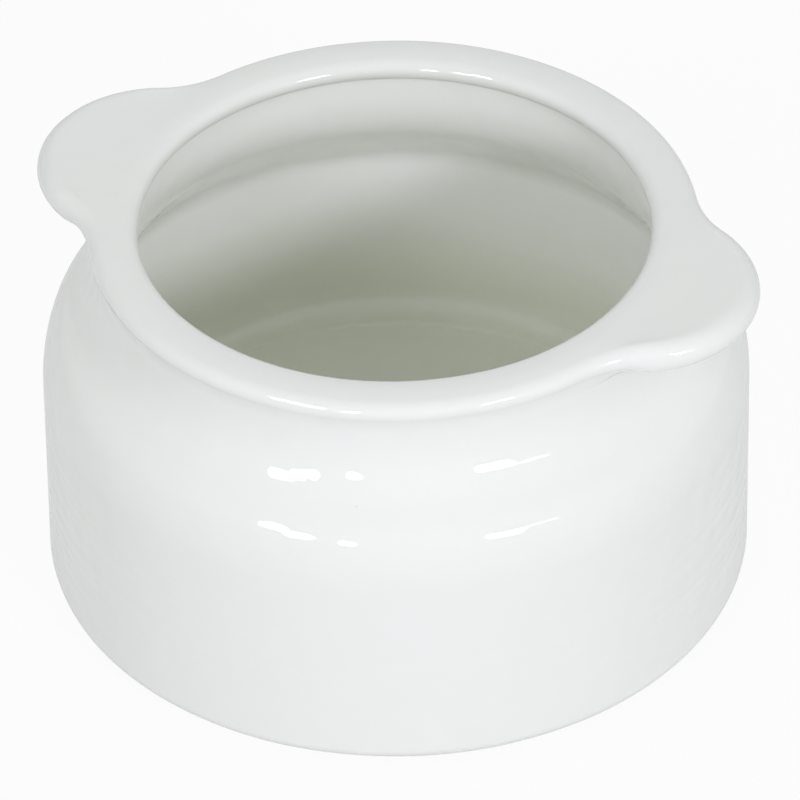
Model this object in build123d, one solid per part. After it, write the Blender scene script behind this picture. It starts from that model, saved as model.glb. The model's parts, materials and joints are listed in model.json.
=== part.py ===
from build123d import *
import os
from math import acos, atan2, cos, degrees, radians, sin, sqrt

# French onion soup crock: a glazed stoneware bowl with a rolled lip and two lug ears.
# Origin at the centre of the foot, +Z up, the ears on the X axis, millimetres and degrees.

# Bowl body
CROCK_HEIGHT = 66.1        # table to the crest of the lip
BODY_RADIUS = 57.0         # outside of the belly, just above the base corner
WALL = 5.2                 # belly and neck
WALL_DRAFT = 0.4           # lean of the belly wall from upright, inwards as it rises
FLOOR = 6.2                # clay under the soup
BASE_CORNER = 2.2          # outside round between base and belly
FLOOR_CORNER = 4.8         # inside round between floor and belly
BELLY_ROUND = 23.0         # outside convex arc at the top of the belly
BELLY_LEAN = 20.0          # lean of the wall where that arc ends
SHOULDER_ROUND = 9.0       # outside convex arc of the shoulder
SHOULDER_LEAN = 50.0       # lean of the wall where the shoulder turns hollow
NECK_SETBACK = 9.25        # radius lost between belly and neck
NECK_STRAIGHT = 1.1        # upright stretch of the neck below the lip's seat
INNER_NECK_ROUND = 18.0    # inside round between neck and shoulder
INNER_LEAN = 35.0          # lean of the straight slope of the shoulder, inside
INNER_BEND_ROUND = 8.0     # inside round between that slope and the belly

# Rolled lip
LIP_THICKNESS = 4.2        # height of the roll
LIP_EDGE_SHARE = 0.75      # round of the roll's two edges, as a share of half its height
LIP_OVERHANG_OUT = 1.0     # past the outside of the neck
LIP_OVERHANG_IN = 1.6      # past the inside of the neck
LIP_GROOVE_ROUND = 3.5     # hollow under the roll, outside
LIP_CREASE_ROUND = 0.8     # hollow under the roll, inside
LIP_SKIRT = 1.4            # upright stretch between those hollows and the seat

# Lug ears
EAR_REACH = 12.1           # past the outside of the lip
EAR_LOBE_RADIUS = 18.7     # plan round of the tip
EAR_FLANK_ROUND = 20.3     # plan hollow between lobe and lip
EAR_THICKNESS = 5.6
EAR_DROP = 0.3             # flat top of the ear below the crest of the lip, at the crest
EAR_TILT = 3.0             # rise of that flat top towards the tip
EAR_EDGE_SHARE = 0.48      # edge round, as a share of the thickness
EAR_END_STEP = 0.8         # clay left on the lip where a flank ends

# Foot ring
FOOT_INSET = 5.0           # from the belly to the outside of the foot
FOOT_WIDTH = 6.0
FOOT_STAND = 1.2           # height of the foot below the base
FOOT_SEAT = 1.2            # depth of the turned groove that holds it
FOOT_EDGE_ROUND = 0.5


def outward(lean):
    """Unit vector, in the radius and height plane, square to a wall of this lean."""
    return Vector(cos(radians(lean)), sin(radians(lean)))


# Roll of the lip, drawn as an oval of arcs: a flat crown between two round edges
roll_half_height = LIP_THICKNESS / 2
roll_half_width = (WALL + LIP_OVERHANG_OUT + LIP_OVERHANG_IN) / 2
edge_round = LIP_EDGE_SHARE * roll_half_height
edge_offset = roll_half_width - edge_round
crown_round = (edge_offset**2 + roll_half_height**2 - edge_round**2) / (2 * (roll_half_height - edge_round))
crown_angle = degrees(atan2(edge_offset, crown_round - roll_half_height))


def hollow_under_roll(overhang, hollow_round):
    """Drop and lean of the hollow that is tangent to the neck and to the roll's edge."""
    reach = edge_round + hollow_round
    drop = sqrt(reach**2 - (reach - overhang) ** 2)
    return drop, degrees(atan2(drop, reach - overhang))


groove_drop, groove_lean = hollow_under_roll(LIP_OVERHANG_OUT, LIP_GROOVE_ROUND)
crease_drop, crease_lean = hollow_under_roll(LIP_OVERHANG_IN, LIP_CREASE_ROUND)

# Outside of the shoulder: two convex arcs and a hollow one, tangent to each other, the belly and the neck
belly_turn = BELLY_ROUND * (outward(BELLY_LEAN) - outward(WALL_DRAFT))
shoulder_turn = SHOULDER_ROUND * (outward(SHOULDER_LEAN) - outward(BELLY_LEAN))
neck_inset = NECK_SETBACK + belly_turn.X + shoulder_turn.X
neck_round = neck_inset / (1 - cos(radians(SHOULDER_LEAN)))
shoulder_rise = belly_turn.Y + shoulder_turn.Y + neck_round * sin(radians(SHOULDER_LEAN))

# Heights, from the crest of the lip down to the base
roll_height = CROCK_HEIGHT - roll_half_height
seat_height = roll_height - max(groove_drop, crease_drop) - LIP_SKIRT
neck_foot = seat_height - NECK_STRAIGHT
belly_top = neck_foot - shoulder_rise
base_height = FOOT_STAND
floor_height = base_height + FLOOR

# Radii, from the base corner up to the lip
wall_normal = outward(WALL_DRAFT)
corner_centre = Vector(BODY_RADIUS - BASE_CORNER, base_height + BASE_CORNER)
wall_reach = corner_centre.dot(wall_normal) + BASE_CORNER
belly_radius = (wall_reach - belly_top * wall_normal.Y) / wall_normal.X
neck_radius = belly_radius - NECK_SETBACK
neck_bore = neck_radius - WALL
lip_radius = neck_radius + LIP_OVERHANG_OUT
mouth_radius = neck_bore - LIP_OVERHANG_IN
crest_radius = (lip_radius + mouth_radius) / 2
foot_radius = BODY_RADIUS - FOOT_INSET


def turned(edges):
    """One full turn of a closed outline whose points are (radius, height)."""
    return revolve(make_face(Plane.XZ * Curve(children=edges)), Axis.Z)


def outer_shoulder():
    """The S of the shoulder outside, belly end first."""
    belly_centre = Vector(belly_radius, belly_top) - BELLY_ROUND * wall_normal
    shoulder_centre = belly_centre + (BELLY_ROUND - SHOULDER_ROUND) * outward(BELLY_LEAN)
    neck_centre = (neck_radius + neck_round, neck_foot)
    belly = CenterArc(belly_centre, BELLY_ROUND, WALL_DRAFT, BELLY_LEAN - WALL_DRAFT)
    shoulder = CenterArc(shoulder_centre, SHOULDER_ROUND, BELLY_LEAN, SHOULDER_LEAN - BELLY_LEAN)
    neck = CenterArc(neck_centre, neck_round, 180 + SHOULDER_LEAN, -SHOULDER_LEAN)
    return belly, shoulder, neck


def inner_shoulder():
    """The gentler S inside, belly end first: a bend, a straight slope and the round up into the neck."""
    neck_centre = Vector(neck_bore + INNER_NECK_ROUND, neck_foot)
    slope_normal = outward(INNER_LEAN)
    slope_reach = neck_centre.dot(slope_normal) - INNER_NECK_ROUND
    bend_from_wall = wall_reach - WALL - INNER_BEND_ROUND
    bend_from_slope = slope_reach - INNER_BEND_ROUND
    between = sin(radians(INNER_LEAN - WALL_DRAFT))
    bend_radius = (bend_from_wall * slope_normal.Y - bend_from_slope * wall_normal.Y) / between
    bend_height = (bend_from_slope * wall_normal.X - bend_from_wall * slope_normal.X) / between
    bend = CenterArc((bend_radius, bend_height), INNER_BEND_ROUND, WALL_DRAFT, INNER_LEAN - WALL_DRAFT)
    neck = CenterArc(neck_centre, INNER_NECK_ROUND, 180 + INNER_LEAN, -INNER_LEAN)
    return bend, Line(bend @ 1, neck @ 0), neck


def bowl_body(foot):
    """Floor, belly, shoulder and neck of nearly even wall, grooved underneath for the foot."""
    base_corner = CenterArc(corner_centre, BASE_CORNER, -90, 90 + WALL_DRAFT)
    outer_edges = outer_shoulder()
    inner_edges = inner_shoulder()
    floor_corner_height = floor_height + FLOOR_CORNER
    inner_reach = wall_reach - WALL - FLOOR_CORNER
    floor_radius = (inner_reach - floor_corner_height * wall_normal.Y) / wall_normal.X
    floor_corner = CenterArc((floor_radius, floor_corner_height), FLOOR_CORNER, -90, 90 + WALL_DRAFT)
    outside = [
        Line((0, base_height), base_corner @ 0),
        base_corner,
        Line(base_corner @ 1, outer_edges[0] @ 0),
        *outer_edges,
        Line(outer_edges[-1] @ 1, (neck_radius, seat_height)),
    ]
    seat = Line((neck_radius, seat_height), (neck_bore, seat_height))
    inside = [
        Line((neck_bore, seat_height), inner_edges[-1] @ 1),
        *inner_edges,
        Line(inner_edges[0] @ 0, floor_corner @ 1),
        floor_corner,
        Line(floor_corner @ 0, (0, floor_height)),
    ]
    axis = Line((0, floor_height), (0, base_height))
    return turned([*outside, seat, *inside, axis]) - foot


def rolled_lip():
    """Ring with an oval roll above and a flat seat below, hollowed under the roll on both sides."""
    outer_edge_centre = (lip_radius - edge_round, roll_height)
    inner_edge_centre = (mouth_radius + edge_round, roll_height)
    crown_centre = (crest_radius, CROCK_HEIGHT - crown_round)
    groove_centre = (neck_radius + LIP_GROOVE_ROUND, roll_height - groove_drop)
    crease_centre = (neck_bore - LIP_CREASE_ROUND, roll_height - crease_drop)
    edge_turn = 90 - crown_angle
    crown = CenterArc(crown_centre, crown_round, edge_turn, 2 * crown_angle)
    outer_edge = CenterArc(outer_edge_centre, edge_round, edge_turn, -(edge_turn + groove_lean))
    groove = CenterArc(groove_centre, LIP_GROOVE_ROUND, 180 - groove_lean, groove_lean)
    crease = CenterArc(crease_centre, LIP_CREASE_ROUND, 0, crease_lean)
    inner_edge = CenterArc(inner_edge_centre, edge_round, 180 + crease_lean, -(edge_turn + crease_lean))
    skirt = Polyline(groove @ 1, (neck_radius, seat_height), (neck_bore, seat_height), crease @ 0)
    return turned([crown, outer_edge, groove, *skirt.edges(), crease, inner_edge])


def third_side_angle(near, far, opposite):
    """Angle, in radians, between two sides of a triangle, from the lengths of all three."""
    return acos((near**2 + far**2 - opposite**2) / (2 * near * far))


def lug_ear(lip, body):
    """Lobe with hollow flanks and a rounded edge, tilted up and coped to the lip that it grows out of."""
    lobe_centre = lip_radius + EAR_REACH - EAR_LOBE_RADIUS
    flank_far = lip_radius + EAR_FLANK_ROUND
    flank_angle = third_side_angle(lobe_centre, flank_far, EAR_LOBE_RADIUS + EAR_FLANK_ROUND)
    flank_centre = flank_far * outward(degrees(flank_angle))
    lobe_turn = degrees(atan2(flank_centre.Y, flank_centre.X - lobe_centre))
    end_radius = lip_radius + EAR_END_STEP
    end_angle = degrees(flank_angle - third_side_angle(end_radius, flank_far, EAR_FLANK_ROUND))
    lobe = CenterArc((lobe_centre, 0), EAR_LOBE_RADIUS, -lobe_turn, 2 * lobe_turn)
    flank = TangentArc(lobe @ 1, end_radius * outward(end_angle), tangent=lobe % 1)
    root = CenterArc((0, 0), crest_radius, -end_angle, 2 * end_angle)
    half = [flank, Line(flank @ 1, root @ 1)]
    other_half = [mirror(edge, about=Plane.XZ) for edge in half]
    plan = make_face(Curve(children=[lobe, root, *half, *other_half]))
    ear_bottom = CROCK_HEIGHT - EAR_DROP - EAR_THICKNESS
    plate = extrude(Pos(Z=ear_bottom) * plan, EAR_THICKNESS)
    arcs = plate.edges().filter_by(GeomType.CIRCLE)
    root_arcs = arcs.filter_by(lambda arc: arc.radius == crest_radius)
    flat_ear = fillet(arcs - root_arcs, EAR_EDGE_SHARE * EAR_THICKNESS)
    crest = Axis((crest_radius, 0, ear_bottom + EAR_THICKNESS), (0, -1, 0))
    return flat_ear.rotate(crest, EAR_TILT) - lip - body


def foot_ring():
    """Bare ring that stands on the table, its lower edges rounded."""
    section = Circle(foot_radius) - Circle(foot_radius - FOOT_WIDTH)
    ring = extrude(section, FOOT_STAND + FOOT_SEAT)
    return fillet(ring.edges().group_by(Axis.Z)[0], FOOT_EDGE_ROUND)


foot = foot_ring()
body = bowl_body(foot)
lip = rolled_lip()
right_ear = lug_ear(lip, body)
left_ear = mirror(right_ear, about=Plane.YZ)

nodes = {
    "bowl_body": body,
    "rolled_lip": lip,
    "left_ear": left_ear,
    "right_ear": right_ear,
    "foot_ring": foot,
}

os.makedirs("parts", exist_ok=True)
for name, solid in nodes.items():
    export_step(solid, f"parts/{name}.step")
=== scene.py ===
"""French onion soup crock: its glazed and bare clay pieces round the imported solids, and a small studio."""

import json
from math import acos, atan2, cos, hypot, pi, radians, sin, sqrt, tan
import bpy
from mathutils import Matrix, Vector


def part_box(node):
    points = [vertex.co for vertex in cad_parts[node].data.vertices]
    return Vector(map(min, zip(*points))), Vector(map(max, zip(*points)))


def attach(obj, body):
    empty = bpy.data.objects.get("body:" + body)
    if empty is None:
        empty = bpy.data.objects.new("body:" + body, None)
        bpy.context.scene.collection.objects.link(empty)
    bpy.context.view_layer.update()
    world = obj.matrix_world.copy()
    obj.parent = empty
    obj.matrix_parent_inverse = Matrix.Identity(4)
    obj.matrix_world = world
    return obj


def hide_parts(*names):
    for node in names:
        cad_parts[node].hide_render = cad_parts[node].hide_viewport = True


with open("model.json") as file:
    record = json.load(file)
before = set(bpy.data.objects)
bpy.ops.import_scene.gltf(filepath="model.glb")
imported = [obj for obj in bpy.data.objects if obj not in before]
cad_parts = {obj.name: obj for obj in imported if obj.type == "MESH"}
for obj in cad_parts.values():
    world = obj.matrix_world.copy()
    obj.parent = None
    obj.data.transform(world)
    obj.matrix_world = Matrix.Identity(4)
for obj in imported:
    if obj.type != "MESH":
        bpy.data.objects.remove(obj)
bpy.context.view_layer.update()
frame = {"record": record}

from types import SimpleNamespace

import bmesh
import bpy
from bpy.props import FloatProperty, FloatVectorProperty, PointerProperty
from bpy.types import Operator, Panel, PropertyGroup
from mathutils import Matrix, Vector, noise

bl_info = {
    "name": "Onion Soup Crock",
    "version": (1, 0, 0),
    "blender": (4, 5, 0),
    "location": "View3D > Sidebar > Crock",
    "description": "Builds a white glazed soup crock with a rolled lip and two lug ears",
    "category": "Object",
}

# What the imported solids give
BOWL_LOW, BOWL_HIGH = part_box("bowl_body")
LIP_LOW, LIP_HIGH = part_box("rolled_lip")
EAR_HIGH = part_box("right_ear")[1]
FOOT_LOW, FOOT_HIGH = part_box("foot_ring")
SLOT_COLOURS = {slot["slot"]: slot["base_color"] for slot in frame["record"]["materials"]}
GLAZE_SLOT = "white_glaze"
CLAY_SLOT = "bare_stoneware"

# How finely the turned pieces are divided
QUARTER_STEPS = 72
BOWL_STEPS = SimpleNamespace(
    base=8, base_rim=2, base_corner=10, belly=72, belly_round=16, shoulder=14, hollow=24,
    inner_neck=20, slope=8, inner_bend=16, inner_belly=48, floor_corner=14, tool_line=10, floor=24,
)
LIP_STEPS = SimpleNamespace(
    inner_skirt=6, crease=8, inner_edge=14, inner_crown=10,
    outer_crown=12, outer_edge=14, groove=10, outer_skirt=10,
)
FOOT_STEPS = SimpleNamespace(across=6, upright=3)
GLAZE_EDGE_STEPS = 3
FOOT_EDGE_STEPS = 4
SHARP_ANGLE = radians(40)
MERGE_DISTANCE = 1e-7
STATION = "station"

# The unevenness of clay shaped by hand under a flowing glaze
WOBBLE_DEPTH = 0.00005
WOBBLE_SPAN = 0.016
WOBBLE_SEED = 7
RING_DRIFT = 1.6
RING_SPREAD = 5.3

# The finish of the glaze and the bare clay. The wall leans in above the belly's top, and a painted shade
# goes inside the bowl below it.
BELLY_TOP = 0.036
CLOUD_LOW = 0.3
CLOUD_HIGH = 0.7
GLOSS_CHANGE = 0.3
FLOW_DEPTH = 0.00006
GLAZE_IOR = 1.52
DUSTY_SHADE = 0.82
GRAIN_DEPTH = 0.00012
GRAIN_STRENGTH = 0.6


def length_property(name, description, default):
    """A size in metres."""
    return FloatProperty(name=name, description=description, default=default, unit="LENGTH", precision=5)


def angle_property(name, description, default):
    """An angle, given here in degrees."""
    return FloatProperty(name=name, description=description, default=radians(default), subtype="ANGLE")


def share_property(name, description, default):
    """A share from none to all."""
    return FloatProperty(name=name, description=description, default=default, min=0, max=1, subtype="FACTOR")


def colour_property(name, description, default):
    """A linear colour."""
    return FloatVectorProperty(name=name, description=description, default=default, min=0, max=1,
                               subtype="COLOR")


class CrockBowlSettings(PropertyGroup):
    """Sizes of the bowl"""

    wall: length_property("Wall", "Clay of the belly, shoulder and neck", 0.0052)
    draft: angle_property("Draft", "Lean of the belly wall from upright", 0.4)
    base_corner: length_property("Base corner", "Outside round between base and belly", 0.0022)
    floor: length_property("Floor", "Clay under the soup", 0.0062)
    floor_corner: length_property("Floor corner", "Inside round between floor and belly", 0.0048)
    tool_drop: length_property("Tool drop", "Drop from that round to the flat of the floor", 0.0005)
    tool_width: length_property("Tool width", "Width of the line where it drops", 0.0005)
    belly_round: length_property("Belly round", "Convex arc at the top of the belly", 0.023)
    belly_lean: angle_property("Belly lean", "Lean of the wall where that arc ends", 20)
    shoulder_round: length_property("Shoulder round", "Convex arc of the shoulder", 0.009)
    shoulder_lean: angle_property("Shoulder lean", "Lean where the shoulder turns hollow", 50)
    neck_setback: length_property("Neck setback", "Radius lost between belly and neck", 0.00925)
    neck_straight: length_property("Neck straight", "Upright stretch below the lip", 0.0011)
    inner_neck_round: length_property("Inner neck round", "Inside round between neck and shoulder", 0.018)
    inner_lean: angle_property("Inner lean", "Lean of the straight slope inside the shoulder", 35)
    inner_bend: length_property("Inner bend", "Inside round between that slope and the belly", 0.008)
    ring_pitch: length_property("Ring pitch", "Spacing of the throwing rings", 0.0026)
    ring_depth: length_property("Ring depth", "Depth of the throwing rings", 0.00002)
    glaze_edge: length_property("Glaze edge", "Round of the glaze where it stops at the foot", 0.0004)


class CrockLipSettings(PropertyGroup):
    """Sizes of the rolled lip"""

    thickness: length_property("Thickness", "Height of the roll", 0.0042)
    edge_share: share_property("Edge share", "Round of the roll's edges, of half its height", 0.92)
    overhang_out: length_property("Overhang outside", "Roll past the outside of the neck", 0.001)
    overhang_in: length_property("Overhang inside", "Roll past the inside of the neck", 0.0016)
    groove_round: length_property("Groove round", "Hollow under the roll, outside", 0.0078)
    crease_round: length_property("Crease round", "Hollow under the roll, inside", 0.0008)


class CrockEarSettings(PropertyGroup):
    """Sizes of the lug ears"""

    lobe_radius: length_property("Lobe radius", "Plan round of the tip", 0.0187)
    flank_round: length_property("Flank round", "Plan hollow between lobe and lip", 0.0203)
    thickness: length_property("Thickness", "Clay of the ear", 0.0056)
    edge_round: length_property("Edge round", "Round of the rim of the ear", 0.0028)
    underside_fillet: length_property("Underside fillet", "Reach of the clay smoothed in below", 0.003)
    underside_rise: length_property("Underside rise", "Rise of the underside towards the tip", 0.0006)
    root_reach: length_property("Root reach", "Reach at which the ear has its full thickness", 0.006)
    fillet_start: length_property("Fillet start", "Reach at which that clay begins to fill", 0.0035)


class CrockFootSettings(PropertyGroup):
    """Sizes of the foot ring"""

    width: length_property("Width", "Width of the ring that touches the table", 0.006)
    edge_round: length_property("Edge round", "Round of the ring's lower edges", 0.0005)


class CrockGlazeSettings(PropertyGroup):
    """Colours and gloss of the glaze and the bare clay"""

    colour: colour_property("Glaze", "Colour of the glaze on the walls", (0.835, 0.848, 0.825))
    # Painted shade: a greener, darker colour for the inside of the lower bowl, where shade gathers.
    inner_shade_colour: colour_property("Painted inner shade", "Colour painted inside the lower bowl for its shade", (0.82, 0.845, 0.73))
    speck_colour: colour_property("Specks", "Colour of the iron specks", (0.30, 0.26, 0.20))
    roughness: share_property("Roughness", "Roughness of the glaze", 0.03)
    clay_colour: colour_property("Bare clay", "Colour of the bare foot", SLOT_COLOURS[CLAY_SLOT][:3])


class CrockStageSettings(PropertyGroup):
    """Camera, floor and light"""

    azimuth: angle_property("Azimuth", "Camera's turn from the front towards the right ear", 24.01)
    elevation: angle_property("Elevation", "Camera's height above the horizon", 38.784)
    roll: angle_property("Roll", "Camera's turn about its own line of sight", -0.781)
    distance: length_property("Distance", "Camera to the point that it looks at", 1.14)
    aim_right: length_property("Aim right", "That point, right of the crock's axis", 0.00053)
    aim_height: length_property("Aim height", "That point, above the table", 0.02852)
    lens: FloatProperty(name="Lens", description="Focal length in millimetres", default=318.04)
    floor_radius: length_property("Floor radius", "Reach of the floor", 2.0)
    floor_white: share_property("Floor white", "Share of the floor's look that is plain white", 0.93)
    floor_mirrored: share_property("Floor mirrored", "The same share where the glaze mirrors the floor", 0.42)
    zenith: FloatProperty(name="Zenith", description="Light from straight above", default=0.32)
    band: FloatProperty(name="Band", description="Light from the walls of the room", default=1.1)
    horizon: FloatProperty(name="Horizon", description="Light from the height of the table", default=0.06)
    room_colour: colour_property("Room light", "Colour of the light from the room", (0.985, 0.99, 1.0))
    lamp_colour: colour_property("Lamp light", "Colour of the lamps", (0.935, 0.94, 1.0))


# Profiles, as (radius, height) points

def arc(centre, radius, start, turn, steps):
    """Points along an arc that starts at one angle and turns through another."""
    angles = [start + turn * step / steps for step in range(steps + 1)]
    return [(centre[0] + radius * cos(angle), centre[1] + radius * sin(angle)) for angle in angles]


def run(start, end, steps):
    """Points along a straight stretch."""
    shares = [step / steps for step in range(steps + 1)]
    return [tuple(a + share * (b - a) for a, b in zip(start, end)) for share in shares]


def chain(*stretches):
    """Stretches that follow one another, with the points where they meet kept once."""
    points = list(stretches[0])
    for stretch in stretches[1:]:
        met = hypot(stretch[0][0] - points[-1][0], stretch[0][1] - points[-1][1]) < MERGE_DISTANCE
        points += stretch[1:] if met else stretch
    return points


def ringed(points, pitch, depth):
    """A wall's points drawn in by the shallow rings that throwing leaves, fading out at both ends."""
    last = len(points) - 1
    drawn = []
    for index, (radius, height) in enumerate(points):
        turns = 2 * pi * height / pitch
        swing = 0.5 + 0.5 * sin(turns + RING_DRIFT * sin(turns / RING_SPREAD))
        drawn.append((radius - depth * swing * sin(pi * index / last), height))
    return drawn


def square_to(lean):
    """Unit direction, in radius and height, square to a wall of this lean."""
    return Vector((cos(lean), sin(lean)))


def bowl_profile(bowl, foot):
    """Base, belly, shoulder, neck and inside of the bowl, from axis to axis."""
    steps = BOWL_STEPS
    base = BOWL_LOW.z
    floor = base + bowl.floor
    wall_normal = square_to(bowl.draft)
    belly_turn = bowl.belly_round * (square_to(bowl.belly_lean) - wall_normal)
    shoulder_turn = bowl.shoulder_round * (square_to(bowl.shoulder_lean) - square_to(bowl.belly_lean))
    neck_round = (bowl.neck_setback + belly_turn.x + shoulder_turn.x) / (1 - cos(bowl.shoulder_lean))
    neck_foot = BOWL_HIGH.z - bowl.neck_straight
    belly_top = neck_foot - belly_turn.y - shoulder_turn.y - neck_round * sin(bowl.shoulder_lean)
    corner_centre = Vector((BOWL_HIGH.x - bowl.base_corner, base + bowl.base_corner))
    wall_reach = corner_centre.dot(wall_normal) + bowl.base_corner
    belly_radius = (wall_reach - belly_top * wall_normal.y) / wall_normal.x
    neck = belly_radius - bowl.neck_setback
    belly_centre = Vector((belly_radius, belly_top)) - bowl.belly_round * wall_normal
    shoulder_centre = belly_centre + (bowl.belly_round - bowl.shoulder_round) * square_to(bowl.belly_lean)
    shoulder = chain(
        arc(belly_centre, bowl.belly_round, bowl.draft, bowl.belly_lean - bowl.draft, steps.belly_round),
        arc(shoulder_centre, bowl.shoulder_round, bowl.belly_lean, bowl.shoulder_lean - bowl.belly_lean,
            steps.shoulder),
        arc((neck + neck_round, neck_foot), neck_round, pi + bowl.shoulder_lean, -bowl.shoulder_lean,
            steps.hollow),
    )
    bore = neck - bowl.wall
    slope_normal = square_to(bowl.inner_lean)
    inner_neck_centre = Vector((bore + bowl.inner_neck_round, neck_foot))
    bend_reaches = Vector((wall_reach - bowl.wall - bowl.inner_bend,
                           inner_neck_centre.dot(slope_normal) - bowl.inner_neck_round - bowl.inner_bend))
    bend_centre = Matrix((wall_normal, slope_normal)).inverted() @ bend_reaches
    inner_neck = arc(inner_neck_centre, bowl.inner_neck_round, pi, bowl.inner_lean, steps.inner_neck)
    inner_bend = arc(bend_centre, bowl.inner_bend, bowl.inner_lean, bowl.draft - bowl.inner_lean,
                     steps.inner_bend)
    inner_shoulder = chain(inner_neck, run(inner_neck[-1], inner_bend[0], steps.slope), inner_bend)
    corner_reaches = Vector((wall_reach - bowl.wall - bowl.floor_corner,
                             floor + bowl.tool_drop + bowl.floor_corner))
    floor_corner_centre = Matrix((wall_normal, (0, 1))).inverted() @ corner_reaches
    foot_out = FOOT_HIGH.x
    foot_in = foot_out - foot.width
    groove = [(foot_in, base), (foot_in, FOOT_HIGH.z), (foot_out, FOOT_HIGH.z), (foot_out, base)]
    base_corner = arc(corner_centre, bowl.base_corner, -pi / 2, pi / 2 + bowl.draft, steps.base_corner)
    floor_corner = arc(floor_corner_centre, bowl.floor_corner, bowl.draft, -pi / 2 - bowl.draft,
                       steps.floor_corner)
    tool_start = floor_corner[-1][0]
    tool_line = []
    for step in range(steps.tool_line + 1):
        share = step / steps.tool_line
        tool_line.append((tool_start - bowl.tool_width * share,
                          floor + bowl.tool_drop * (1 - smooth_step(share))))
    outer_wall = run(base_corner[-1], shoulder[0], steps.belly)
    inner_wall = run(inner_shoulder[-1], floor_corner[0], steps.inner_belly)
    return chain(
        run((0, base), groove[0], steps.base), groove,
        run(groove[-1], base_corner[0], steps.base_rim), base_corner,
        ringed(outer_wall, bowl.ring_pitch, bowl.ring_depth), shoulder,
        inner_shoulder, ringed(inner_wall, bowl.ring_pitch, bowl.ring_depth),
        floor_corner, tool_line, run(tool_line[-1], (0, floor), steps.floor),
    )


def lip_shape(lip, bowl):
    """Sizes of the roll and the stretches of its section, each named."""
    steps = LIP_STEPS
    half_height = lip.thickness / 2
    half_width = (bowl.wall + lip.overhang_out + lip.overhang_in) / 2
    edge = lip.edge_share * half_height
    offset = half_width - edge
    crown = (offset**2 + half_height**2 - edge**2) / (2 * (half_height - edge))
    crown_angle = atan2(offset, crown - half_height)
    edge_turn = pi / 2 - crown_angle
    roll_height = LIP_HIGH.z - half_height
    neck = LIP_HIGH.x - lip.overhang_out
    bore = neck - bowl.wall
    mouth = bore - lip.overhang_in
    crest = (LIP_HIGH.x + mouth) / 2

    def hollow(overhang, hollow_round):
        """Drop and lean of the hollow that joins the roll to the neck."""
        reach = edge + hollow_round
        drop = sqrt(reach**2 - (reach - overhang) ** 2)
        return drop, atan2(drop, reach - overhang)

    groove_drop, groove_lean = hollow(lip.overhang_out, lip.groove_round)
    crease_drop, crease_lean = hollow(lip.overhang_in, lip.crease_round)
    crown_centre = (crest, LIP_HIGH.z - crown)
    neck_foot = LIP_LOW.z - bowl.neck_straight
    groove_foot = (neck, roll_height - groove_drop)
    crease_foot = (bore, roll_height - crease_drop)
    return SimpleNamespace(
        crest=crest, neck=neck, neck_foot=neck_foot,
        inner_skirt=run((bore, neck_foot), crease_foot, steps.inner_skirt),
        crease=arc((bore - lip.crease_round, crease_foot[1]), lip.crease_round, 0, crease_lean, steps.crease),
        inner_edge=arc((mouth + edge, roll_height), edge, pi + crease_lean, -edge_turn - crease_lean,
                       steps.inner_edge),
        inner_crown=arc(crown_centre, crown, pi / 2 + crown_angle, -crown_angle, steps.inner_crown),
        outer_crown=arc(crown_centre, crown, pi / 2, -crown_angle, steps.outer_crown),
        outer_edge=arc((LIP_HIGH.x - edge, roll_height), edge, edge_turn, -edge_turn - groove_lean,
                       steps.outer_edge),
        groove=arc((neck + lip.groove_round, groove_foot[1]), lip.groove_round, pi - groove_lean, groove_lean,
                   steps.groove),
        outer_skirt=run(groove_foot, (neck, neck_foot), steps.outer_skirt),
    )


# Meshes

def turned(points, closed=False):
    """A full turn of a profile about the crock's axis, made as a quarter mirrored twice, with each point's
    place in the profile kept."""
    mesh = bmesh.new()
    station = mesh.verts.layers.int.new(STATION)
    verts = [mesh.verts.new((radius, 0, height)) for radius, height in points]
    for index, vert in enumerate(verts):
        vert[station] = index
    pairs = list(zip(verts, verts[1:]))
    if closed:
        pairs.append((verts[-1], verts[0]))
    edges = [mesh.edges.new(pair) for pair in pairs]
    bmesh.ops.spin(mesh, geom=verts + edges, cent=(0, 0, 0), axis=(0, 0, 1), dvec=(0, 0, 0),
                   angle=pi / 2, steps=QUARTER_STEPS)
    for axis in "XY":
        bmesh.ops.mirror(mesh, geom=[*mesh.verts, *mesh.edges, *mesh.faces], matrix=Matrix(), axis=axis,
                         merge_dist=MERGE_DISTANCE)
    bmesh.ops.remove_doubles(mesh, verts=mesh.verts, dist=MERGE_DISTANCE)
    bmesh.ops.recalc_face_normals(mesh, faces=mesh.faces)
    return mesh


def smooth_step(share):
    """Zero to one with level ends."""
    share = min(max(share, 0.0), 1.0)
    return share**2 * (3 - 2 * share)


def wobble(point):
    """Small uneven shift of a point on the hand-shaped clay, inwards and down on the whole."""
    outward = Vector((point.x, point.y, 0)).normalized()
    return WOBBLE_DEPTH * (noise.noise_vector(point / WOBBLE_SPAN) - outward - Vector((0, 0, 1)))


def uneven(mesh):
    """Takes the machine-made evenness off a mesh. Points that meet stay together."""
    noise.seed_set(WOBBLE_SEED)
    for vert in mesh.verts:
        vert.co += wobble(vert.co)


def round_low_rims(mesh, height, radius, segments):
    """Rounds the sharp rims of a turned piece that lie at this height."""
    rims = [edge for edge in mesh.edges
            if all(abs(vert.co.z - height) < MERGE_DISTANCE for vert in edge.verts)
            and edge.calc_face_angle(0) > SHARP_ANGLE]
    bmesh.ops.bevel(mesh, geom=rims, offset=radius, offset_type="OFFSET", segments=segments, profile=0.5,
                    affect="EDGES", material=-1)


def finished(mesh, name, material, slot, *nodes):
    """Makes the mesh a smooth piece of the crock that stands for these solids."""
    data = bpy.data.meshes.new(name)
    mesh.to_mesh(data)
    mesh.free()
    data.materials.append(material)
    data.shade_smooth()
    data.set_sharp_from_angle(angle=SHARP_ANGLE)
    piece = bpy.data.objects.new(name, data)
    bpy.context.scene.collection.objects.link(piece)
    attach(piece, "root")
    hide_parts(*nodes)


# Shader nodes

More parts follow.
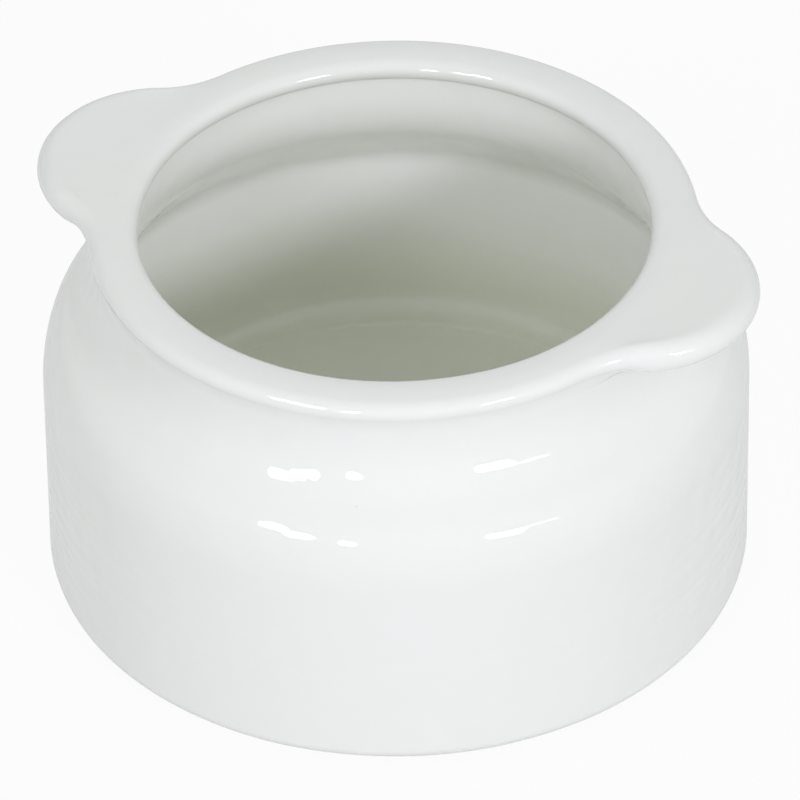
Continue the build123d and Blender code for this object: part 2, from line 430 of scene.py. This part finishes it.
def put(tree, kind, inputs=None, **settings):
    """Adds a node, with its settings, and its inputs linked from sockets or set to values."""
    node = tree.nodes.new(kind)
    for name, value in settings.items():
        setattr(node, name, value)
    for name, value in (inputs or {}).items():
        if isinstance(value, bpy.types.NodeSocket):
            tree.links.new(value, node.inputs[name])
        else:
            node.inputs[name].default_value = value
    return node


def new_group(name, inputs, output):
    """An empty shader node group with a vector, some values and one value out."""
    group = bpy.data.node_groups.new(name, "ShaderNodeTree")
    group.interface.new_socket("Vector", in_out="INPUT", socket_type="NodeSocketVector")
    for value in inputs:
        group.interface.new_socket(value, in_out="INPUT", socket_type="NodeSocketFloat")
    group.interface.new_socket(output, in_out="OUTPUT", socket_type="NodeSocketFloat")
    return group, group.nodes.new("NodeGroupInput").outputs, group.nodes.new("NodeGroupOutput").inputs


def soft_mottle():
    """Group: cloudy change between two values."""
    name = "soft_mottle"
    if name in bpy.data.node_groups:
        return bpy.data.node_groups[name]
    group, given, result = new_group(name, ("Scale", "Detail", "Low", "High"), "Value")
    cloud = put(group, "ShaderNodeTexNoise", {
        "Vector": given["Vector"], "Scale": given["Scale"], "Detail": given["Detail"]})
    spread = put(group, "ShaderNodeMapRange", {
        "Value": cloud.outputs["Fac"], "From Min": CLOUD_LOW, "From Max": CLOUD_HIGH,
        "To Min": given["Low"], "To Max": given["High"]})
    group.links.new(spread.outputs["Result"], result["Value"])
    return group


def iron_specks():
    """Group: mask of small round specks, in a share of the cells that divide the clay."""
    name = "iron_specks"
    if name in bpy.data.node_groups:
        return bpy.data.node_groups[name]
    group, given, result = new_group(name, ("Scale", "Size", "Share"), "Mask")
    cells = put(group, "ShaderNodeTexVoronoi", {"Vector": given["Vector"], "Scale": given["Scale"]})
    dot = put(group, "ShaderNodeMath", {0: given["Size"], 1: cells.outputs["Distance"]}, operation="SUBTRACT")
    soft_edge = put(group, "ShaderNodeMath", {0: dot.outputs[0], 1: given["Size"]}, operation="DIVIDE",
                    use_clamp=True)
    draw = put(group, "ShaderNodeSeparateColor", {"Color": cells.outputs["Color"]})
    drawn = put(group, "ShaderNodeMath", {0: draw.outputs["Red"], 1: given["Share"]}, operation="LESS_THAN")
    mask = put(group, "ShaderNodeMath", {0: soft_edge.outputs[0], 1: drawn.outputs[0]}, operation="MULTIPLY")
    group.links.new(mask.outputs[0], result["Mask"])
    return group


def grouped(tree, group, coordinates, **values):
    """Places a group on these coordinates and returns its output."""
    node = put(tree, "ShaderNodeGroup", node_tree=group)
    tree.links.new(coordinates, node.inputs["Vector"])
    for name, value in values.items():
        node.inputs[name].default_value = value
    return node.outputs[0]


def new_material(name):
    """A material with its shader, and the coordinates of the piece that wears it."""
    material = bpy.data.materials.new(name)
    material.use_nodes = True
    tree = material.node_tree
    shader = tree.nodes["Principled BSDF"]
    coordinates = put(tree, "ShaderNodeTexCoord").outputs["Object"]
    return material, tree, shader, coordinates


def mixed(tree, share, first, second):
    """A colour between two others."""
    node = put(tree, "ShaderNodeMix", data_type="RGBA")
    for name, value in (("Factor_Float", share), ("A_Color", first), ("B_Color", second)):
        socket = next(socket for socket in node.inputs if socket.identifier == name)
        if isinstance(value, bpy.types.NodeSocket):
            tree.links.new(value, socket)
        else:
            socket.default_value = value if isinstance(value, float) else (*value, 1)
    return next(socket for socket in node.outputs if socket.identifier == "Result_Color")


def white_glaze(settings, bowl):
    """Glossy white glaze: faint clouds, a greener, darker painted shade inside the lower bowl, iron specks
    and a flowing surface.
    """
    name = "flowing_white_glaze"
    if name in bpy.data.materials:
        return bpy.data.materials[name]
    material, tree, shader, coordinates = new_material(name)
    axes = put(tree, "ShaderNodeSeparateXYZ", {"Vector": coordinates}).outputs
    flat = put(tree, "ShaderNodeVectorMath", {0: coordinates, 1: (1, 1, 0)}, operation="MULTIPLY")
    from_axis = put(tree, "ShaderNodeVectorMath", {0: flat.outputs["Vector"]}, operation="LENGTH")
    middle_of_wall = put(tree, "ShaderNodeMapRange", {
        "Value": axes["Z"], "From Min": BELLY_TOP, "From Max": LIP_LOW.z,
        "To Min": BOWL_HIGH.x - bowl.wall / 2, "To Max": LIP_HIGH.x - bowl.wall / 2},
        interpolation_type="SMOOTHSTEP")
    # Painted shade: inside the bowl and below the belly's top, the colour turns greener and darker where
    # shade gathers; random clouds add to that mix.
    inside = put(tree, "ShaderNodeMath", {
        0: from_axis.outputs["Value"], 1: middle_of_wall.outputs["Result"]}, operation="LESS_THAN")
    depth = put(tree, "ShaderNodeMapRange", {
        "Value": axes["Z"], "From Min": BELLY_TOP, "From Max": BOWL_LOW.z + bowl.floor},
        interpolation_type="SMOOTHSTEP")
    painted_inner_shade = put(tree, "ShaderNodeMath", {0: inside.outputs[0], 1: depth.outputs["Result"]},
               operation="MULTIPLY")
    clouds = grouped(tree, soft_mottle(), coordinates, Scale=45.0, Detail=3.0, Low=0.0, High=0.16)
    shade_and_clouds = put(tree, "ShaderNodeMath", {0: painted_inner_shade.outputs[0], 1: clouds}, operation="ADD", use_clamp=True)
    glaze = mixed(tree, shade_and_clouds.outputs[0], settings.colour, settings.inner_shade_colour)
    specks = grouped(tree, iron_specks(), coordinates, Scale=75.0, Size=0.02, Share=0.22)
    tree.links.new(mixed(tree, specks, glaze, settings.speck_colour), shader.inputs["Base Color"])
    gloss = grouped(tree, soft_mottle(), coordinates, Scale=140.0, Detail=3.0,
                    Low=(1 - GLOSS_CHANGE) * settings.roughness, High=(1 + GLOSS_CHANGE) * settings.roughness)
    tree.links.new(gloss, shader.inputs["Roughness"])
    flow = grouped(tree, soft_mottle(), coordinates, Scale=210.0, Detail=0.5, Low=0.0, High=1.0)
    peel = grouped(tree, soft_mottle(), coordinates, Scale=700.0, Detail=1.0, Low=0.0, High=0.02)
    height = put(tree, "ShaderNodeMath", {0: flow, 1: peel}, operation="ADD")
    bump = put(tree, "ShaderNodeBump", {"Height": height.outputs[0], "Strength": 1.0, "Distance": FLOW_DEPTH})
    tree.links.new(bump.outputs["Normal"], shader.inputs["Normal"])
    shader.inputs["IOR"].default_value = GLAZE_IOR
    return material


def bare_stoneware(settings):
    """Dry fired clay: sandy grain, iron specks and a slightly uneven tone."""
    material, tree, shader, coordinates = new_material("sandy_stoneware")
    tone = grouped(tree, soft_mottle(), coordinates, Scale=90.0, Detail=3.0, Low=0.0, High=0.35)
    dusty = [DUSTY_SHADE * channel for channel in settings.clay_colour]
    clay = mixed(tree, tone, settings.clay_colour, dusty)
    specks = grouped(tree, iron_specks(), coordinates, Scale=520.0, Size=0.16, Share=0.25)
    tree.links.new(mixed(tree, specks, clay, settings.speck_colour), shader.inputs["Base Color"])
    grain = grouped(tree, soft_mottle(), coordinates, Scale=2600.0, Detail=3.0, Low=0.0, High=1.0)
    bump = put(tree, "ShaderNodeBump", {"Height": grain, "Strength": GRAIN_STRENGTH, "Distance": GRAIN_DEPTH})
    tree.links.new(bump.outputs["Normal"], shader.inputs["Normal"])
    dry = grouped(tree, soft_mottle(), coordinates, Scale=400.0, Detail=3.0, Low=0.78, High=0.95)
    tree.links.new(dry, shader.inputs["Roughness"])
    return material


# Pieces

class CROCK_OT_bowl(Operator):
    """Adds the glazed bowl, thrown in one turn, with the hollow for its foot"""

    bl_idname = "crock.bowl"
    bl_label = "Bowl"

    def execute(self, context):
        scene = context.scene
        bowl = scene.crock_bowl
        mesh = turned(bowl_profile(bowl, scene.crock_foot))
        round_low_rims(mesh, BOWL_LOW.z, bowl.glaze_edge, GLAZE_EDGE_STEPS)
        uneven(mesh)
        finished(mesh, "glazed_bowl", white_glaze(scene.crock_glaze, bowl), GLAZE_SLOT, "bowl_body")
        return {"FINISHED"}


def ear_outline(ear):
    """How far an ear stands past the lip, as a function of the angle from the middle of the ear."""
    lip_radius = LIP_HIGH.x
    lobe_centre = EAR_HIGH.x - ear.lobe_radius
    flank_far = lip_radius + ear.flank_round
    centres_apart = ear.lobe_radius + ear.flank_round
    flank_angle = acos((lobe_centre**2 + flank_far**2 - centres_apart**2) / (2 * lobe_centre * flank_far))
    turn = atan2(flank_far * sin(flank_angle), flank_far * cos(flank_angle) - lobe_centre)
    meeting = atan2(ear.lobe_radius * sin(turn), lobe_centre + ear.lobe_radius * cos(turn))

    def reach(angle):
        """Lobe, hollow flank or nothing at this angle."""
        if angle <= meeting:
            half_chord = sqrt(ear.lobe_radius**2 - (lobe_centre * sin(angle)) ** 2)
            return lobe_centre * cos(angle) + half_chord - lip_radius
        if angle >= flank_angle:
            return 0.0
        off = flank_angle - angle
        half_chord = sqrt(ear.flank_round**2 - (flank_far * sin(off)) ** 2)
        return flank_far * cos(off) - half_chord - lip_radius

    return reach


def rim_sections(ear, shape):
    """The lip's section all round, beside each point the one through the middle of an ear drawn back to the
    lip, and the share of the ear's reach that the point takes."""
    inside = (shape.inner_skirt, shape.crease, shape.inner_edge, shape.inner_crown)
    outside = (shape.outer_crown, shape.outer_edge, shape.groove, shape.outer_skirt)
    lip_points = chain(*inside, *outside)
    top_steps, edge_steps, under_steps, fillet_steps = (len(stretch) - 1 for stretch in outside)
    top = EAR_HIGH.z
    bottom = top - ear.thickness
    edge_start = LIP_HIGH.x - ear.edge_round
    root = shape.neck + ear.underside_fillet
    root_height = bottom - ear.underside_rise
    root_drop = root_height - shape.neck_foot
    ear_points = chain(*inside)[:-1]
    shares = [0.0] * len(ear_points)
    for step in range(top_steps):
        share = step / top_steps
        ear_points.append((shape.crest + share * (edge_start - shape.crest),
                           LIP_HIGH.z + (top - LIP_HIGH.z) * share**2))
        shares.append(share)
    for step in range(edge_steps):
        angle = pi / 2 - pi * step / edge_steps
        ear_points.append((edge_start + ear.edge_round * cos(angle),
                           (top + bottom) / 2 + ear.thickness / 2 * sin(angle)))
        shares.append(1.0)
    for step in range(under_steps):
        share = step / under_steps
        ear_points.append((edge_start + share * (root - edge_start), bottom - ear.underside_rise * share))
        shares.append(1 - share)
    for step in range(fillet_steps + 1):
        angle = pi / 2 * step / fillet_steps
        ear_points.append((root - ear.underside_fillet * sin(angle),
                           root_height - root_drop * (1 - cos(angle))))
        shares.append(0.0)
    return lip_points, ear_points, shares


class CROCK_OT_rim(Operator):
    """Adds the rolled lip, a turned ring on the neck, with a lug ear drawn out of it on either side"""

    bl_idname = "crock.rim"
    bl_label = "Rim"

    def execute(self, context):
        scene = context.scene
        ear = scene.crock_ear
        shape = lip_shape(scene.crock_lip, scene.crock_bowl)
        lip_points, ear_points, shares = rim_sections(ear, shape)
        reach = ear_outline(ear)
        mesh = turned(lip_points, closed=True)
        station = mesh.verts.layers.int[STATION]
        for vert in mesh.verts:
            angle = atan2(vert.co.y, vert.co.x)
            out = reach(min(abs(angle), pi - abs(angle)))
            index = vert[station]
            edge_growth = smooth_step(out / ear.root_reach)
            root_growth = smooth_step((out - ear.fillet_start) / ear.root_reach)
            grown = root_growth + shares[index] * (edge_growth - root_growth)
            lip_radius, lip_height = lip_points[index]
            ear_radius, ear_height = ear_points[index]
            radius = lip_radius + grown * (ear_radius - lip_radius) + shares[index] * out
            height = lip_height + grown * (ear_height - lip_height)
            vert.co = (radius * cos(angle), radius * sin(angle), height)
        uneven(mesh)
        glaze = white_glaze(scene.crock_glaze, scene.crock_bowl)
        finished(mesh, "glazed_rim", glaze, GLAZE_SLOT, "rolled_lip", "left_ear", "right_ear")
        return {"FINISHED"}


class CROCK_OT_foot(Operator):
    """Adds the bare foot ring that the crock stands on"""

    bl_idname = "crock.foot"
    bl_label = "Foot"

    def execute(self, context):
        scene = context.scene
        foot = scene.crock_foot
        inner = FOOT_HIGH.x - foot.width
        outer = FOOT_HIGH.x
        section = chain(run((inner, FOOT_LOW.z), (outer, FOOT_LOW.z), FOOT_STEPS.across),
                        run((outer, FOOT_LOW.z), (outer, FOOT_HIGH.z), FOOT_STEPS.upright),
                        run((outer, FOOT_HIGH.z), (inner, FOOT_HIGH.z), FOOT_STEPS.across),
                        run((inner, FOOT_HIGH.z), (inner, FOOT_LOW.z), FOOT_STEPS.upright)[:-1])
        mesh = turned(section, closed=True)
        round_low_rims(mesh, FOOT_LOW.z, foot.edge_round, FOOT_EDGE_STEPS)
        finished(mesh, "bare_foot", bare_stoneware(scene.crock_glaze), CLAY_SLOT, "foot_ring")
        return {"FINISHED"}


# Stage

FLOOR_GREY = (0.75, 0.75, 0.75, 1)
WHITE = (1, 1, 1, 1)
FLOOR_SIDES = 64
# Rise, of a unit direction, between which the room's walls brighten and its ceiling takes over
WALLS_START, WALLS_FULL = 0.12, 0.28
CEILING_START, CEILING_FULL = 0.55, 0.8
VIEW_END = 100
LAMP_DISTANCE = 1.2
AREA_LAMP_FACTOR = 4.0
# Lamps: name, turn from the camera towards the right, height, width and tallness in degrees, brightness.
# The keys light the clay, and the panels show only as reflections in the glaze.
KEYS = (
    ("right_key", 31.5, 25.0, 10.0, 7.0, 35.0),
    ("left_key", -35.0, 32.0, 20.0, 14.0, 5.6),
)
PANELS = (
    ("left_panel", -37.6, 19.0, 9.2, 13.0, 10.0),
    ("left_middle_panel", -29.4, 12.5, 9.6, 13.0, 10.0),
    ("narrow_panel", -15.2, 8.0, 6.2, 9.5, 12.0),
    ("right_panel", 33.2, 7.0, 13.0, 10.0, 12.0),
    ("right_wing", 44.5, 8.4, 12.0, 3.2, 2.6),
)
PANEL_NAMES = [panel[0] for panel in PANELS]


def towards(azimuth, elevation):
    """Unit direction from the crock towards something at these angles, as the camera's are measured."""
    return Vector((sin(azimuth) * cos(elevation), -cos(azimuth) * cos(elevation), sin(elevation)))


def seen_white(tree, white, mirrored):
    """The share that is plain white for a ray of the camera or a glass, and for one of a mirror.
    It is nothing for a ray of plain light."""
    path = put(tree, "ShaderNodeLightPath").outputs
    straight = put(tree, "ShaderNodeMath", {0: path["Is Camera Ray"], 1: path["Is Transmission Ray"]},
                   operation="ADD", use_clamp=True)
    share = put(tree, "ShaderNodeMath", {0: straight.outputs[0], 1: white}, operation="MULTIPLY")
    return put(tree, "ShaderNodeMath", {0: path["Is Glossy Ray"], 1: mirrored, 2: share.outputs[0]},
               operation="MULTIPLY_ADD").outputs[0]


class CROCK_OT_stage(Operator):
    """Adds the floor, the light and the camera"""

    bl_idname = "crock.stage"
    bl_label = "Stage"

    def execute(self, context):
        scene = context.scene
        stage = scene.crock_stage
        self.lay_floor(scene, stage)
        self.light(scene, stage)
        self.place_camera(scene, stage)
        scene.view_settings.view_transform = "Standard"
        return {"FINISHED"}

    def lay_floor(self, scene, stage):
        """A grey floor that the camera sees as nearly white, with the crock's shadow."""
        mesh = bmesh.new()
        bmesh.ops.create_circle(mesh, cap_ends=True, radius=stage.floor_radius, segments=FLOOR_SIDES)
        data = bpy.data.meshes.new("floor")
        mesh.to_mesh(data)
        mesh.free()
        floor = bpy.data.objects.new("floor", data)
        scene.collection.objects.link(floor)
        material = bpy.data.materials.new("pale_floor")
        material.use_nodes = True
        tree = material.node_tree
        tree.nodes.clear()
        share = seen_white(tree, stage.floor_white, stage.floor_mirrored)
        paint = put(tree, "ShaderNodeBsdfDiffuse", {"Color": FLOOR_GREY})
        white = put(tree, "ShaderNodeEmission", {"Color": WHITE, "Strength": 1.0})
        look = put(tree, "ShaderNodeMixShader", {0: share, 1: paint.outputs[0], 2: white.outputs[0]})
        put(tree, "ShaderNodeOutputMaterial", {"Surface": look.outputs[0]})
        data.materials.append(material)

    def light(self, scene, stage):
        """The soft light of the room, the keys and the panels."""
        world = bpy.data.worlds.new("studio")
        world.use_nodes = True
        tree = world.node_tree
        tree.nodes.clear()
        direction = put(tree, "ShaderNodeTexCoord").outputs["Generated"]
        rise = put(tree, "ShaderNodeSeparateXYZ", {"Vector": direction}).outputs["Z"]
        walls = put(tree, "ShaderNodeMapRange", {
            "Value": rise, "From Min": WALLS_START, "From Max": WALLS_FULL,
            "To Min": stage.horizon, "To Max": stage.band},
            interpolation_type="SMOOTHSTEP").outputs["Result"]
        level = put(tree, "ShaderNodeMapRange", {
            "Value": rise, "From Min": CEILING_START, "From Max": CEILING_FULL,
            "To Min": walls, "To Max": stage.zenith},
            interpolation_type="SMOOTHSTEP").outputs["Result"]
        studio = put(tree, "ShaderNodeBackground", {"Color": (*stage.room_colour, 1), "Strength": level})
        white = put(tree, "ShaderNodeBackground", {"Color": WHITE, "Strength": 1.0})
        share = seen_white(tree, 1.0, 1.0)
        look = put(tree, "ShaderNodeMixShader", {0: share, 1: studio.outputs[0], 2: white.outputs[0]})
        put(tree, "ShaderNodeOutputWorld", {"Surface": look.outputs[0]})
        scene.world = world
        middle = Vector((0, 0, LIP_HIGH.z / 2))
        for name, azimuth, elevation, width, tallness, brightness in (*KEYS, *PANELS):
            lamp = bpy.data.lights.new(name, "AREA")
            lamp.shape = "ELLIPSE" if name in PANEL_NAMES else "RECTANGLE"
            lamp.size = 2 * LAMP_DISTANCE * tan(radians(width / 2))
            lamp.size_y = 2 * LAMP_DISTANCE * tan(radians(tallness / 2))
            lamp.energy = AREA_LAMP_FACTOR * lamp.size * lamp.size_y * brightness
            lamp.color = stage.lamp_colour
            holder = bpy.data.objects.new(name, lamp)
            out = towards(stage.azimuth + radians(azimuth), radians(elevation))
            holder.location = middle + LAMP_DISTANCE * out
            holder.rotation_euler = out.to_track_quat("Z", "Y").to_euler()
            holder.visible_glossy = name in PANEL_NAMES
            holder.visible_diffuse = name not in PANEL_NAMES
            scene.collection.objects.link(holder)

    def place_camera(self, scene, stage):
        """The camera at the photo's viewing angle."""
        back = towards(stage.azimuth, stage.elevation)
        aim = Matrix.Rotation(stage.azimuth, 3, "Z") @ Vector((stage.aim_right, 0, stage.aim_height))
        lens = bpy.data.cameras.new("photo_camera")
        lens.lens = stage.lens
        lens.clip_end = VIEW_END
        camera = bpy.data.objects.new("photo_camera", lens)
        facing = back.to_track_quat("Z", "Y").to_matrix() @ Matrix.Rotation(stage.roll, 3, "Z")
        camera.location = aim + stage.distance * back
        camera.rotation_euler = facing.to_euler()
        scene.collection.objects.link(camera)
        scene.camera = camera


class CROCK_PT_builder(Panel):
    """Lists the crock's pieces and its stage"""

    bl_idname = "CROCK_PT_builder"
    bl_label = "Onion Soup Crock"
    bl_space_type = "VIEW_3D"
    bl_region_type = "UI"
    bl_category = "Crock"

    def draw(self, context):
        for operator in OPERATORS:
            self.layout.operator(operator.bl_idname)
        for name in SETTINGS:
            group = getattr(context.scene, name)
            box = self.layout.box()
            for key in group.__annotations__:
                box.prop(group, key)


SETTINGS = {
    "crock_bowl": CrockBowlSettings,
    "crock_lip": CrockLipSettings,
    "crock_ear": CrockEarSettings,
    "crock_foot": CrockFootSettings,
    "crock_glaze": CrockGlazeSettings,
    "crock_stage": CrockStageSettings,
}
OPERATORS = (CROCK_OT_bowl, CROCK_OT_rim, CROCK_OT_foot, CROCK_OT_stage)


def register():
    """Adds the settings, the operators and the panel to Blender."""
    for name, settings in SETTINGS.items():
        bpy.utils.register_class(settings)
        setattr(bpy.types.Scene, name, PointerProperty(type=settings))
    for shown in (*OPERATORS, CROCK_PT_builder):
        bpy.utils.register_class(shown)


def unregister():
    """Takes them out again."""
    for shown in (CROCK_PT_builder, *reversed(OPERATORS)):
        bpy.utils.unregister_class(shown)
    for name, settings in reversed(SETTINGS.items()):
        delattr(bpy.types.Scene, name)
        bpy.utils.unregister_class(settings)


def main():
    """Builds the pieces and the stage."""
    register()
    bpy.ops.crock.bowl()
    bpy.ops.crock.rim()
    bpy.ops.crock.foot()
    bpy.ops.crock.stage()


if __name__ == "__main__":
    main()
